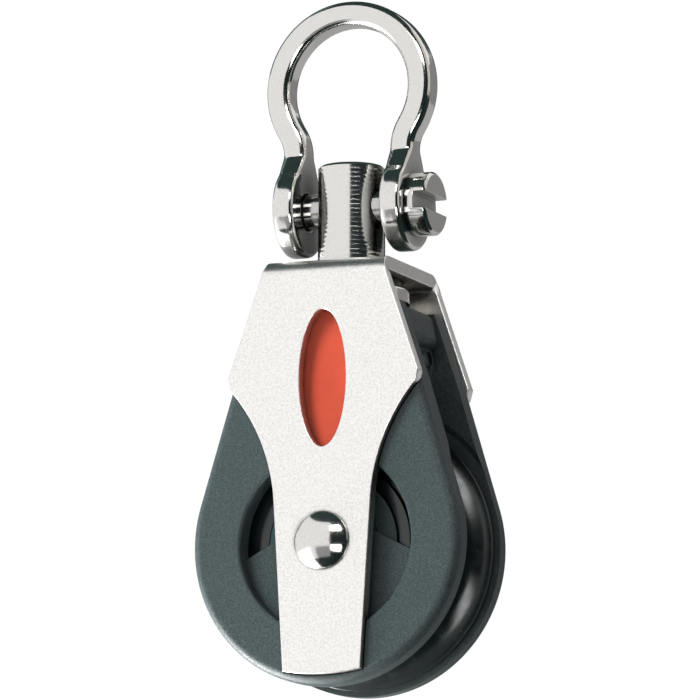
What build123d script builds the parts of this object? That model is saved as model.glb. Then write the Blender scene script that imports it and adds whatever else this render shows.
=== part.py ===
from build123d import *
import os
from math import acos, asin, atan2, cos, hypot, pi, sin, sqrt

# Single sheave block with a swivel shackle, in millimetres.
# Origin: centre of the sheave. X is across the block, Y is along the axle with the
# front at -Y, and +Z points up towards the shackle.

os.makedirs("parts", exist_ok=True)

# Fits
running_clearance = 0.05
locating_clearance = 0.02
track_clearance = 0.03
parting_gap = 0.04

# Sheave
sheave_radius = 15.2
sheave_half_width = 4.7
groove_radius = 4.4
groove_depth = 4.0
side_dish_depth = 0.5
side_dish_hub_wall = 1.3
side_dish_rim_wall = 2.8
flange_edge_round = 0.12

# Ball bearing
ball_radius = 1.5
ball_orbit_radius = 6.5
ball_row_gap = 0.8
ball_gap = 0.05
race_shoulder = 1.2
retainer_radial_clearance = 0.15
retainer_ball_clearance = 0.1

# Axle
shank_radius = 2.0
sleeve_wall = 1.15
rivet_head_radius = 3.25
rivet_head_rim = 0.3
rivet_head_height = 1.6
formed_head_radius = 3.0
formed_head_top_radius = 2.1
formed_head_height = 1.1

# Cheeks
sheave_side_clearance = 0.3
cheek_overhang = 0.6
cheek_wall = 2.5
cheek_rim_round = 1.1
pocket_depth = 0.7
pocket_radial_clearance = 1.2
pocket_bevel = 0.6
pocket_bevel_angle = 45
hub_boss_radius = 4.4
bearing_opening_radius = 5.4
recess_radius = 10.1
recess_depth = 1.7
recess_edge_round = 0.35
fan_apex_height = 3.8
fan_slope = 0.52

# Web that joins the cheeks above the sheave
rope_gap = 7.0
web_height = 4.3
web_half_width_top = 7.9
web_half_width_bottom = 9.0
web_corner_round = 1.2
web_root_round = 1.5
dowel_radius = 1.0
dowel_length = 6.0
dowel_offset = 4.6

# Load strap
strap_thickness = 1.5
strap_inner_bend = 0.5
channel_depth = 0.7
channel_clearance = 0.1
strap_top_half_width = 7.1
strap_shoulder_half_width = 11.3
strap_shoulder_rise = 3.1
strap_shoulder_edge = 1.2
strap_shoulder_undercut = 0.3
strap_waist_half_width = 5.75
strap_waist_height = 4.5
strap_end_half_width = 4.6
strap_end_margin = 0.95
strap_end_crown = 0.45
cheek_side_inset = 0.15
cheek_top_inset = 0.3

# Coloured inserts behind the windows in the strap
window_half_width = 2.75
window_half_height = 7.6
window_drop = 0.3
insert_lip = 0.8
insert_thickness = 0.9

# Swivel
collar_gap = 0.8
collar_height = 1.7
collar_radius = 6.5
collar_edge_round = 0.5
lower_washer_thickness = 0.85
lower_washer_inset = 0.9
upper_washer_thickness = 0.35
post_radius = 3.75
post_edge_chamfer = 0.35
spigot_radius = 2.5
spigot_stake = 0.25
pin_rise = 6.3
post_top_rise = 4.8

# Shackle
pin_radius = 2.0
pin_head_overhang = 1.55
pin_head_length = 2.5
pin_head_chamfer = 0.3
slot_width = 1.9
slot_depth = 1.45
thread_depth = 0.25
thread_pitch = 0.7
ear_gap = 1.4
ear_thickness = 2.45
ear_radius = 5.1
ear_edge_round = 0.5
neck_head_clearance = 0.1
neck_inset = 0.15
leg_stub_length = 0.2
bar_thickness = 2.8
bar_depth = 3.4
bar_corner_round = 0.9
bow_radius = 8.45
bow_rise = 13.55
leg_bend_radius = 5.0

# Places across the block, from the sheave outwards
pocket_floor_y = sheave_half_width + sheave_side_clearance
inner_face_y = pocket_floor_y - pocket_depth
cheek_face_y = pocket_floor_y + cheek_wall
strap_inner_y = cheek_face_y - channel_depth
strap_outer_y = strap_inner_y + strap_thickness
recess_floor_y = cheek_face_y - recess_depth

# Radii that follow from the axle outwards
shank_bore_radius = shank_radius + running_clearance
sleeve_radius = shank_bore_radius + sleeve_wall
hub_bore_radius = sleeve_radius + running_clearance
track_radius = ball_radius + track_clearance
race_radius = ball_orbit_radius - race_shoulder
sheave_bore_radius = ball_orbit_radius + race_shoulder
retainer_radius = sheave_bore_radius - retainer_radial_clearance
cheek_radius = sheave_radius + cheek_overhang
groove_floor_radius = sheave_radius - groove_depth
side_dish_inner_radius = sheave_bore_radius + side_dish_hub_wall
side_dish_outer_radius = sheave_radius - side_dish_rim_wall
ball_row_offset = ball_radius + ball_row_gap / 2
balls_per_row = int(pi / asin((ball_radius + ball_gap / 2) / ball_orbit_radius))
lower_washer_radius = collar_radius - lower_washer_inset
pin_head_radius = pin_radius + pin_head_overhang
ear_inner = post_radius + ear_gap
strap_bend_radius = strap_inner_bend + strap_thickness
pocket_radius = sheave_radius + pocket_radial_clearance

# Heights, from the sheave up
shoulder_z = sheave_radius + strap_shoulder_rise
window_z = shoulder_z - window_drop
web_bottom_z = sheave_radius + rope_gap
web_top_z = web_bottom_z + web_height
collar_bottom_z = web_top_z + collar_gap
collar_top_z = collar_bottom_z + collar_height
lower_washer_top_z = collar_top_z + lower_washer_thickness
bridge_bottom_z = lower_washer_top_z + running_clearance
bridge_top_z = bridge_bottom_z + strap_thickness
upper_washer_bottom_z = bridge_top_z + running_clearance
post_bottom_z = upper_washer_bottom_z + upper_washer_thickness
pin_z = post_bottom_z + pin_rise
post_top_z = pin_z + post_top_rise
bow_z = pin_z + bow_rise
strap_slant_top_z = bridge_top_z - strap_bend_radius / 2
strap_end_z = -(sheave_radius - strap_end_margin + strap_end_crown)


def facing(y):
    """Plane across the axle at depth y, with its x along X and its y along Z."""
    return Plane.XZ.offset(-y)


def outward(side, distance):
    """Extrusion amount that moves from a facing() plane away from the sheave."""
    return -side * distance


def ring_about_axle(inner, outer, y_from, y_to):
    """Rectangle in the XY plane that revolves about Y into a ring."""
    with BuildSketch(Plane.XY) as section:
        with Locations(((inner + outer) / 2, (y_from + y_to) / 2)):
            Rectangle(outer - inner, y_to - y_from)
    return section.sketch


def strap_leg_outline():
    """Face outline of one strap leg, from its rounded end up to the bridge."""
    waist = (strap_waist_half_width, strap_waist_height)
    end = (strap_end_half_width, strap_end_z + strap_end_crown)
    undercut = (strap_shoulder_half_width - strap_shoulder_undercut, shoulder_z - strap_shoulder_edge)
    shoulder = (strap_shoulder_half_width, shoulder_z)
    slant_top = (strap_top_half_width, strap_slant_top_z)
    top = (strap_top_half_width, bridge_top_z)
    with BuildSketch() as outline:
        with BuildLine():
            ThreePointArc((-end[0], end[1]), (0, strap_end_z), end)
            leg = Line(end, waist)
            TangentArc(waist, undercut, tangent=leg % 1)
            Polyline(undercut, shoulder, slant_top, top, (0, bridge_top_z))
            mirror(about=Plane.YZ)
        make_face()
    return outline.sketch


def cheek_outline():
    """Round below the axle, with tangent sides that rise to the strap's shoulders."""
    side_top = (strap_shoulder_half_width - cheek_side_inset, shoulder_z - strap_shoulder_edge / 2)
    slant = (strap_shoulder_half_width - strap_top_half_width) / (strap_slant_top_z - shoulder_z)
    top_half = strap_shoulder_half_width - slant * (web_top_z - shoulder_z) - cheek_top_inset
    reach = hypot(*side_top)
    touch_angle = atan2(side_top[1], side_top[0]) - acos(cheek_radius / reach)
    touch = (cheek_radius * cos(touch_angle), cheek_radius * sin(touch_angle))
    lower_corner = cheek_radius * sqrt(0.5)
    with BuildSketch() as outline:
        with BuildLine():
            ThreePointArc((0, -cheek_radius), (lower_corner, -lower_corner), touch)
            Polyline(touch, side_top, (top_half, web_top_z), (0, web_top_z))
            mirror(about=Plane.YZ)
        make_face()
    return outline.sketch


def web_outline():
    """Tapered bar across the top of the cheeks, with rounded corners."""
    with BuildSketch() as outline:
        with BuildLine():
            Polyline(
                (-web_half_width_bottom, web_bottom_z),
                (web_half_width_bottom, web_bottom_z),
                (web_half_width_top, web_top_z),
                (-web_half_width_top, web_top_z),
                close=True,
            )
        make_face()
        fillet(outline.vertices(), web_corner_round)
    return outline.sketch


def arch_section(half_width, top, bend_radius):
    """Side view of the space under an arch that has two rounded upper corners."""
    with BuildSketch() as section:
        with Locations((0, (top + strap_end_z) / 2)):
            Rectangle(2 * half_width, top - strap_end_z)
        fillet(section.vertices().group_by(Axis.Y)[-1], bend_radius)
    return section.sketch


leg_outline = strap_leg_outline()
cheek_shape = cheek_outline()
web_shape = web_outline()
sides = {"front": -1, "rear": 1}
web_middle_z = (web_bottom_z + web_top_z) / 2
dowel_places = [(-dowel_offset, web_middle_z), (dowel_offset, web_middle_z)]

# Cheeks: moulded side plates, each with half of the web on its inner face
for end, side in sides.items():
    with BuildPart() as cheek:
        with BuildSketch(facing(side * inner_face_y)):
            add(cheek_shape)
        extrude(amount=outward(side, cheek_face_y - inner_face_y))
        outer_face = cheek.faces().filter_by(Axis.Y).sort_by(Axis.Y)[0 if side < 0 else -1]
        fillet(outer_face.edges(), cheek_rim_round)
        with BuildSketch(facing(side * parting_gap / 2)):
            add(web_shape)
        extrude(amount=outward(side, inner_face_y - parting_gap / 2))
        # Hollow flare where the underside of the web meets the plate
        with BuildSketch(Plane.YZ.offset(-web_half_width_bottom + web_corner_round)):
            with BuildLine():
                Polyline(
                    (side * (inner_face_y - web_root_round), web_bottom_z),
                    (side * inner_face_y, web_bottom_z),
                    (side * inner_face_y, web_bottom_z - web_root_round),
                )
                RadiusArc(
                    (side * inner_face_y, web_bottom_z - web_root_round),
                    (side * (inner_face_y - web_root_round), web_bottom_z),
                    side * web_root_round,
                )
            make_face()
        extrude(amount=2 * (web_half_width_bottom - web_corner_round))
        # Pocket that lets the sheave's flange turn close to the cheek
        with BuildSketch(facing(side * inner_face_y)):
            Circle(pocket_radius)
        extrude(amount=outward(side, pocket_depth), mode=Mode.SUBTRACT)
        with BuildSketch(facing(side * inner_face_y)):
            Circle(pocket_radius + pocket_bevel)
        extrude(amount=outward(side, pocket_bevel), taper=pocket_bevel_angle, mode=Mode.SUBTRACT)
        # Channel for the strap's leg
        with BuildSketch(facing(side * strap_inner_y)):
            offset(leg_outline, channel_clearance)
        extrude(amount=outward(side, channel_depth), mode=Mode.SUBTRACT)
        # Round recess about the axle, with a boss left under the strap
        with BuildSketch(facing(side * recess_floor_y)):
            Circle(recess_radius)
            Circle(hub_boss_radius, mode=Mode.SUBTRACT)
        extrude(amount=outward(side, recess_depth), mode=Mode.SUBTRACT)
        recess_rim = cheek.edges().filter_by(
            lambda e: e.geom_type == GeomType.CIRCLE
            and abs(e.radius - recess_radius) < locating_clearance
            and abs(e.center().Y - side * cheek_face_y) < locating_clearance
        )
        fillet(recess_rim, recess_edge_round)
        # Fan-shaped opening above the axle that shows the bearing
        with BuildSketch(facing(side * pocket_floor_y)):
            Circle(recess_radius)
            with BuildLine():
                Polyline(
                    (0, fan_apex_height),
                    (recess_radius, fan_apex_height - fan_slope * recess_radius),
                    (recess_radius, recess_radius),
                    (-recess_radius, recess_radius),
                    (-recess_radius, fan_apex_height - fan_slope * recess_radius),
                    close=True,
                )
            make_face(mode=Mode.INTERSECT)
            Circle(bearing_opening_radius, mode=Mode.SUBTRACT)
        extrude(amount=outward(side, recess_floor_y - pocket_floor_y), mode=Mode.SUBTRACT)
        # Bore for the axle sleeve, seat for the insert and holes for the dowels
        with BuildSketch(facing(side * inner_face_y)):
            Circle(hub_bore_radius)
        extrude(amount=outward(side, cheek_face_y - inner_face_y), mode=Mode.SUBTRACT)
        with BuildSketch(facing(side * (strap_inner_y - insert_thickness - locating_clearance))):
            with Locations((0, window_z)):
                Ellipse(
                    window_half_width + insert_lip + locating_clearance,
                    window_half_height + insert_lip + locating_clearance,
                )
        extrude(amount=outward(side, insert_thickness + channel_depth), mode=Mode.SUBTRACT)
        with BuildSketch(facing(0)):
            with Locations(*dowel_places):
                Circle(dowel_radius + locating_clearance)
        extrude(amount=outward(side, dowel_length / 2 + locating_clearance), mode=Mode.SUBTRACT)
    cheek.part.label = f"{end}_cheek"
    export_step(cheek.part, f"parts/{end}_cheek.step")

# Coloured inserts, each an oval plate that shows through the strap's window
for end, side in sides.items():
    with BuildPart() as insert:
        with BuildSketch(facing(side * (strap_inner_y - insert_thickness))):
            with Locations((0, window_z)):
                Ellipse(window_half_width + insert_lip, window_half_height + insert_lip)
        extrude(amount=outward(side, insert_thickness))
    insert.part.label = f"{end}_insert"
    export_step(insert.part, f"parts/{end}_insert.step")

# Dowels that line up the two halves of the web
with BuildPart() as cheek_dowels:
    with BuildSketch(facing(dowel_length / 2)):
        with Locations(*dowel_places):
            Circle(dowel_radius)
    extrude(amount=dowel_length)
cheek_dowels.part.label = "cheek_dowels"
export_step(cheek_dowels.part, "parts/cheek_dowels.step")

# Load strap: one sheet bent into a U over the block
with BuildPart() as load_strap:
    with BuildSketch(Plane.YZ.offset(-strap_shoulder_half_width)):
        add(arch_section(strap_outer_y, bridge_top_z, strap_bend_radius))
        add(arch_section(strap_inner_y, bridge_bottom_z, strap_inner_bend), mode=Mode.SUBTRACT)
    extrude(amount=2 * strap_shoulder_half_width)
    with BuildSketch(facing(strap_outer_y)):
        add(leg_outline)
    extrude(amount=2 * strap_outer_y, mode=Mode.INTERSECT)
    with BuildSketch(facing(strap_outer_y)):
        with Locations((0, window_z)):
            Ellipse(window_half_width, window_half_height)
        Circle(shank_bore_radius)
    extrude(amount=2 * strap_outer_y, mode=Mode.SUBTRACT)
    with BuildSketch(Plane.XY.offset(bridge_bottom_z)):
        Circle(spigot_radius + running_clearance)
    extrude(amount=strap_thickness, mode=Mode.SUBTRACT)
load_strap.part.label = "load_strap"
export_step(load_strap.part, "parts/load_strap.step")

# Axle rivet: domed factory head in front, formed head behind
dome_height = rivet_head_height - rivet_head_rim
dome_radius = (rivet_head_radius**2 + dome_height**2) / (2 * dome_height)
dome_start = -strap_outer_y - rivet_head_rim
dome_centre_y = dome_start + dome_radius - dome_height
dome_middle_x = rivet_head_radius / 2
dome_middle_y = dome_centre_y - sqrt(dome_radius**2 - dome_middle_x**2)
with BuildPart() as axle_rivet:
    with BuildSketch(Plane.XY):
        with BuildLine():
            ThreePointArc(
                (rivet_head_radius, dome_start),
                (dome_middle_x, dome_middle_y),
                (0, dome_start - dome_height),
            )
            Polyline(
                (0, dome_start - dome_height),
                (0, strap_outer_y + formed_head_height),
                (formed_head_top_radius, strap_outer_y + formed_head_height),
                (formed_head_radius, strap_outer_y),
                (shank_radius, strap_outer_y),
                (shank_radius, -strap_outer_y),
                (rivet_head_radius, -strap_outer_y),
                (rivet_head_radius, dome_start),
            )
        make_face()
    revolve(axis=Axis.Y)
axle_rivet.part.label = "axle_rivet"
export_step(axle_rivet.part, "parts/axle_rivet.step")

# Axle sleeve: spacer tube that keeps the strap's legs apart and carries the race
with BuildPart() as axle_sleeve:
    add(ring_about_axle(shank_bore_radius, sleeve_radius, -strap_inner_y, strap_inner_y))
    revolve(axis=Axis.Y)
axle_sleeve.part.label = "axle_sleeve"
export_step(axle_sleeve.part, "parts/axle_sleeve.step")

# Inner race, clamped between the cheeks, with a track for each row of balls
with BuildPart() as inner_race:
    with BuildSketch(Plane.XY):
        add(ring_about_axle(sleeve_radius, race_radius, -pocket_floor_y, pocket_floor_y))
        with Locations((ball_orbit_radius, -ball_row_offset), (ball_orbit_radius, ball_row_offset)):
            Circle(track_radius, mode=Mode.SUBTRACT)
    revolve(axis=Axis.Y)
inner_race.part.label = "inner_race"
export_step(inner_race.part, "parts/inner_race.step")

# Retaining rings pressed on the ends of the inner race, and the balls they keep in
retainer_inside_y = ball_row_offset + ball_radius + retainer_ball_clearance
for end, side in sides.items():
    near, far = sorted((side * retainer_inside_y, side * pocket_floor_y))
    with BuildPart() as retainer:
        add(ring_about_axle(race_radius, retainer_radius, near, far))
        revolve(axis=Axis.Y)
    retainer.part.label = f"{end}_retainer"
    export_step(retainer.part, f"parts/{end}_retainer.step")
    with BuildPart() as balls:
        with Locations(facing(side * ball_row_offset)):
            with PolarLocations(ball_orbit_radius, balls_per_row):
                Sphere(ball_radius)
    balls.part.label = f"{end}_balls"
    export_step(balls.part, f"parts/{end}_balls.step")

# Sheave: grooved for the rope, dished at the sides and tracked for the balls
dish_middle = (side_dish_inner_radius + side_dish_outer_radius) / 2
dish_width = side_dish_outer_radius - side_dish_inner_radius
with BuildPart() as sheave:
    with BuildSketch(Plane.XY) as sheave_section:
        add(ring_about_axle(sheave_bore_radius, sheave_radius, -sheave_half_width, sheave_half_width))
        with Locations((groove_floor_radius + groove_radius, 0)):
            Circle(groove_radius, mode=Mode.SUBTRACT)
        with Locations((ball_orbit_radius, -ball_row_offset), (ball_orbit_radius, ball_row_offset)):
            Circle(track_radius, mode=Mode.SUBTRACT)
        with Locations((dish_middle, -sheave_half_width), (dish_middle, sheave_half_width)):
            Rectangle(dish_width, 2 * side_dish_depth, mode=Mode.SUBTRACT)
        flange_corners = sheave_section.vertices().group_by(Axis.X)[-1]
        fillet(flange_corners, flange_edge_round)
    revolve(axis=Axis.Y)
sheave.part.label = "sheave"
export_step(sheave.part, "parts/sheave.step")

# Swivel post: turned, cross-bored for the shackle pin, with a spigot through the strap
with BuildPart() as swivel_post:
    with BuildSketch(Plane.XZ):
        with BuildLine():
            Polyline(
                (0, collar_bottom_z - spigot_stake),
                (spigot_radius - spigot_stake, collar_bottom_z - spigot_stake),
                (spigot_radius, collar_bottom_z),
                (spigot_radius, post_bottom_z),
                (post_radius, post_bottom_z),
                (post_radius, post_top_z - post_edge_chamfer),
                (post_radius - post_edge_chamfer, post_top_z),
                (0, post_top_z),
                close=True,
            )
        make_face()
    revolve(axis=Axis.Z)
    with BuildSketch(Plane.YZ.offset(-post_radius)):
        with Locations((0, pin_z)):
            Circle(pin_radius + running_clearance)
    extrude(amount=2 * post_radius, mode=Mode.SUBTRACT)
swivel_post.part.label = "swivel_post"
export_step(swivel_post.part, "parts/swivel_post.step")

# Collar staked on the end of the spigot
with BuildPart() as swivel_collar:
    with BuildSketch(Plane.XY.offset(collar_bottom_z)):
        Circle(collar_radius)
        Circle(spigot_radius, mode=Mode.SUBTRACT)
    extrude(amount=collar_height)
    outer_rims = swivel_collar.edges().filter_by(GeomType.CIRCLE).group_by(SortBy.RADIUS)[-1]
    fillet(outer_rims.sort_by(Axis.Z)[-1], collar_edge_round)
swivel_collar.part.label = "swivel_collar"
export_step(swivel_collar.part, "parts/swivel_collar.step")

# Plain washers under and over the strap's bridge
washers = {
    "lower_swivel_washer": (collar_top_z, lower_washer_thickness, lower_washer_radius),
    "upper_swivel_washer": (upper_washer_bottom_z, upper_washer_thickness, post_radius),
}
for name, (bottom, thickness, radius) in washers.items():
    with BuildPart() as washer:
        with BuildSketch(Plane.XY.offset(bottom)):
            Circle(radius)
            Circle(spigot_radius + locating_clearance, mode=Mode.SUBTRACT)
        extrude(amount=thickness)
    washer.part.label = name
    export_step(washer.part, f"parts/{name}.step")

# Shackle bow: bar with rounded corners bent to a bow, with a flat ear forged on each end
bar_x = ear_inner + ear_thickness / 2
bend_drop = sqrt((bow_radius + leg_bend_radius) ** 2 - (bar_x + leg_bend_radius) ** 2)
bend_share = bow_radius / (bow_radius + leg_bend_radius)
bend_start_z = bow_z - bend_drop
bend_end_x = (bar_x + leg_bend_radius) * bend_share
bend_end_z = bow_z - bend_drop * bend_share
leg_bottom_z = bend_start_z - leg_stub_length
neck_rise = pin_head_radius + neck_head_clearance
neck_half_width = sqrt(ear_radius**2 - neck_rise**2) - neck_inset
with BuildPart() as shackle_bow:
    for hand in (-1, 1):
        with BuildSketch(Plane.YZ.offset(hand * bar_x - ear_thickness / 2)):
            with Locations((0, pin_z)):
                Circle(ear_radius)
        extrude(amount=ear_thickness)
    fillet(shackle_bow.edges().filter_by(GeomType.CIRCLE), ear_edge_round)
    with BuildLine(Plane.XZ) as bar_path:
        for hand in (-1, 1):
            leg = Line((hand * bar_x, leg_bottom_z), (hand * bar_x, bend_start_z))
            TangentArc((hand * bar_x, bend_start_z), (hand * bend_end_x, bend_end_z), tangent=leg % 1)
        ThreePointArc((-bend_end_x, bend_end_z), (0, bow_z + bow_radius), (bend_end_x, bend_end_z))
    with BuildSketch(Plane.XY.offset(leg_bottom_z)):
        with Locations((bar_x, 0)):
            RectangleRounded(bar_thickness, bar_depth, bar_corner_round)
    sweep(path=bar_path.wire())
    for hand in (-1, 1):
        with BuildSketch(Plane.XY.offset(pin_z + neck_rise)):
            with Locations((hand * bar_x, 0)):
                RectangleRounded(ear_thickness, 2 * neck_half_width, ear_edge_round)
        with BuildSketch(Plane.XY.offset(leg_bottom_z)):
            with Locations((hand * bar_x, 0)):
                RectangleRounded(bar_thickness, bar_depth, bar_corner_round)
        loft()
    with BuildSketch(Plane.YZ.offset(-ear_inner - ear_thickness)):
        with Locations((0, pin_z)):
            Circle(pin_radius + running_clearance)
    extrude(amount=2 * (ear_inner + ear_thickness), mode=Mode.SUBTRACT)
shackle_bow.part.label = "shackle_bow"
export_step(shackle_bow.part, "parts/shackle_bow.step")

# Shackle pin: slotted cheese head, plain shank and a grooved end in place of the thread
head_x = ear_inner + ear_thickness + locating_clearance
tip_x = -ear_inner - ear_thickness
groove_count = int(ear_thickness / thread_pitch)
with BuildPart() as shackle_pin:
    with BuildSketch(Plane.XZ) as pin_section:
        with BuildLine():
            Polyline(
                (tip_x, pin_z),
                (tip_x, pin_z + pin_radius - thread_depth),
                (tip_x + thread_depth, pin_z + pin_radius),
                (head_x, pin_z + pin_radius),
                (head_x, pin_z + pin_head_radius),
                (head_x + pin_head_length - pin_head_chamfer, pin_z + pin_head_radius),
                (head_x + pin_head_length, pin_z + pin_head_radius - pin_head_chamfer),
                (head_x + pin_head_length, pin_z),
                close=True,
            )
        make_face()
        for turn in range(groove_count):
            groove_x = tip_x + thread_depth + (turn + 0.5) * thread_pitch
            with BuildLine():
                Polyline(
                    (groove_x - thread_depth, pin_z + pin_radius),
                    (groove_x, pin_z + pin_radius - thread_depth),
                    (groove_x + thread_depth, pin_z + pin_radius),
                    close=True,
                )
            make_face(mode=Mode.SUBTRACT)
    revolve(axis=Axis((0, 0, pin_z), (1, 0, 0)))
    with BuildSketch(Plane.YZ.offset(head_x + pin_head_length - slot_depth)):
        with Locations((0, pin_z)):
            Rectangle(2 * pin_head_radius, slot_width)
    extrude(amount=slot_depth, mode=Mode.SUBTRACT)
shackle_pin.part.label = "shackle_pin"
export_step(shackle_pin.part, "parts/shackle_pin.step")
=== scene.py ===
import math

import bmesh
import bpy
from bpy.props import FloatProperty, FloatVectorProperty, PointerProperty
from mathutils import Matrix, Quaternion, Vector


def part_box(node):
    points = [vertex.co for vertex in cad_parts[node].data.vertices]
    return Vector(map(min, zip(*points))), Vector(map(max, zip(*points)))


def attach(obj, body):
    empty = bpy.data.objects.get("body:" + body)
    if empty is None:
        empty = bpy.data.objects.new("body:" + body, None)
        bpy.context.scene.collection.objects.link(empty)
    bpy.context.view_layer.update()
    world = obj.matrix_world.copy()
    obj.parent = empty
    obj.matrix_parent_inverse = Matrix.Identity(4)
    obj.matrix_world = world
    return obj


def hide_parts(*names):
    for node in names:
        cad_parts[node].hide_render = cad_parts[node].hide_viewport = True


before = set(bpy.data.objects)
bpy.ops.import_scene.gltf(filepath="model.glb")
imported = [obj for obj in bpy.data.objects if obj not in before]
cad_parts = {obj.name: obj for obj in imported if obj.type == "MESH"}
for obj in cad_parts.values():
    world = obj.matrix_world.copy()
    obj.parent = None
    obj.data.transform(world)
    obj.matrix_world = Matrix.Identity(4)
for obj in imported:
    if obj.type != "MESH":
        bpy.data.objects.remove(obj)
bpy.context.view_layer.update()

bl_info = {
    "name": "Swivel Sheave Block",
    "version": (1, 0, 0),
    "blender": (4, 5, 0),
    "location": "View3D > Sidebar > Sheave Block",
    "description": "Detailed pieces and finishes for a single sheave block with a swivel shackle",
    "category": "Object",
}

MM = 0.001


def box(node):
    """Lowest and highest corners of a node at rest."""
    low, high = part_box(node)
    return Vector(low), Vector(high)


STRAP_LOW, STRAP_HIGH = box("load_strap")
CHEEK_LOW, CHEEK_HIGH = box("front_cheek")
SHEAVE_LOW, SHEAVE_HIGH = box("sheave")
POST_LOW, POST_HIGH = box("swivel_post")
RIVET_LOW, RIVET_HIGH = box("axle_rivet")
BOW_LOW, BOW_HIGH = box("shackle_bow")
PIN_LOW, PIN_HIGH = box("shackle_pin")
INSERT_LOW, INSERT_HIGH = box("front_insert")
RETAINER_LOW, RETAINER_HIGH = box("front_retainer")
WASHER_LOW, WASHER_HIGH = box("lower_swivel_washer")
TOP_WASHER_LOW, TOP_WASHER_HIGH = box("upper_swivel_washer")
COLLAR_LOW, COLLAR_HIGH = box("swivel_collar")


def length(name, description, default):
    """A user's length, in metres."""
    return FloatProperty(name=name, description=description, default=default, min=0.0, unit="LENGTH")


def colour(name, description, default):
    """A user's colour, as linear red, green and blue."""
    return FloatVectorProperty(
        name=name, description=description, default=default, size=3, min=0.0, max=1.0, subtype="COLOR"
    )


SENSOR_WIDTH = 36.0
CAMERA_SHIFT = (-0.0015, 0.0293)
CLIP_START = 0.01
CLIP_END = 20.0
CARD_STEP = 6.0
SURROUND_RADIUS = 2.0
SURROUND_BRIGHTNESS = 1.02
FLOOR_HALF_SIZE = 1.8

# Soft lights: azimuth and elevation in degrees, distance, width and height in metres
KEY_LIGHT = (-40, 36, 0.8, 0.3, 0.3)
RIM_LIGHT = (-84, -44, 0.22, 0.12, 0.12)

WHITE = (1.0, 1.0, 1.0)
WARM = (1.0, 0.96, 0.88)
SHADE = (0.60, 1.0, 0.95)
CHEEK_FLECK = (0.048, 0.073, 0.075)

# Painted shade in gaps: the dark tone a finish is tinted towards where other surfaces stand close, the
# openness at which that starts and ends, and its rays
PAINTED_GAP_SHADE_TONE = (0.004, 0.008, 0.008)
PAINTED_GAP_SHADE_OPENNESS = (0.25, 0.85)
PAINTED_GAP_SHADE_SAMPLES = 8

# Studio cards: azimuths and elevations in degrees, distance in metres, brightness, tone
CARDS = {
    "front_sheet": ((-118, 16), (-80, 50), 1.0, 1.04, WHITE),
    "front_low_sheet": ((-118, -40), (-62, -12), 0.9, 1.6, WHITE),
    "front_low_grey": ((-26, 16), (-42, -15), 0.9, 0.35, WHITE),
    "front_floor_dark": ((-40, 16), (-80, -42), 0.9, 0.03, SHADE),
    "left_back_grey": ((-190, -118), (-80, 5), 1.0, 0.45, WHITE),
    "left_back_dark": ((-190, -118), (5, 60), 1.0, 0.06, SHADE),
    "left_high_grey": ((-118, -92), (20, 60), 0.9, 0.25, SHADE),
    "right_dark": ((16, 78), (-80, 60), 1.0, 0.022, SHADE),
    "right_pale": ((78, 124), (2, 60), 1.0, 0.72, WARM),
    "right_low_dark": ((78, 140), (-80, 2), 1.0, 0.03, SHADE),
    "back_grey": ((124, 170), (2, 24), 1.0, 0.28, WHITE),
    "back_low_grey": ((140, 170), (-35, 2), 1.0, 0.5, WHITE),
    "back_sheet": ((124, 170), (24, 60), 1.0, 1.0, WHITE),
    "ceiling_dark": ((-180, 180), (50, 90), 1.1, 0.05, SHADE),
    "upper_panel": ((16, 48), (26, 42), 0.85, 6.0, WHITE),
    "lower_panel": ((18, 46), (-27, -12), 0.85, 6.0, WHITE),
}

# Shapes that follow the part's own fits
STRAP_WAIST = (5.75 * MM, 4.5 * MM)
STRAP_END_HALF = 4.6 * MM
STRAP_END_CROWN = 0.45 * MM
STRAP_TOP_HALF = 7.1 * MM
STRAP_SLANT_DROP = 1.0 * MM
STRAP_INNER_BEND = 0.5 * MM
STRAP_CORNER = 0.35 * MM
SHOULDER_RISE = 3.1 * MM
SHOULDER_EDGE = 1.2 * MM
SHOULDER_UNDERCUT = 0.3 * MM
WINDOW_HALF = (2.75 * MM, 7.6 * MM)
AXLE_HOLE = 2.05 * MM
SPIGOT_HOLE = 2.55 * MM
SHANK_RADIUS = 2.0 * MM
RIVET_RIM = 0.3 * MM
RIVET_ROLL = 0.4 * MM
FORMED_HEAD = ((2.0 * MM, 0.0), (3.0 * MM, 0.0), (2.9 * MM, 0.45 * MM), (2.1 * MM, 1.1 * MM), (0.0, 1.1 * MM))
GROOVE_RADIUS = 4.4 * MM
GROOVE_DEPTH = 4.0 * MM
TRACK_RADIUS = 1.53 * MM
BALL_ROW = 1.9 * MM
BALL_ORBIT = 6.5 * MM
SHEAVE_BORE = 7.7 * MM
SHEAVE_DISH = ((9.0 * MM, 0.0), (9.15 * MM, -0.5 * MM), (12.25 * MM, -0.5 * MM), (12.4 * MM, 0.0))
FLANGE_LAND = 0.12 * MM
POST_CHAMFER = 0.35 * MM
SPIGOT_RADIUS = 2.5 * MM
SPIGOT_STAKE = 0.25 * MM
PIN_BORE = 2.05 * MM
BORE_REACH = 6.0 * MM
WEB_BOTTOM = 22.2 * MM
WEB_ROOT = 1.5 * MM
WEB_FACE = 4.3 * MM
RIB_RADIUS = 0.2 * MM
RIB_FOOT = 1.4 * MM
RIB_START = 0.4 * MM
RIB_PLACES = (5.4 * MM, 6.7 * MM, 8.0 * MM)
MARK_STEPS = 6


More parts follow.
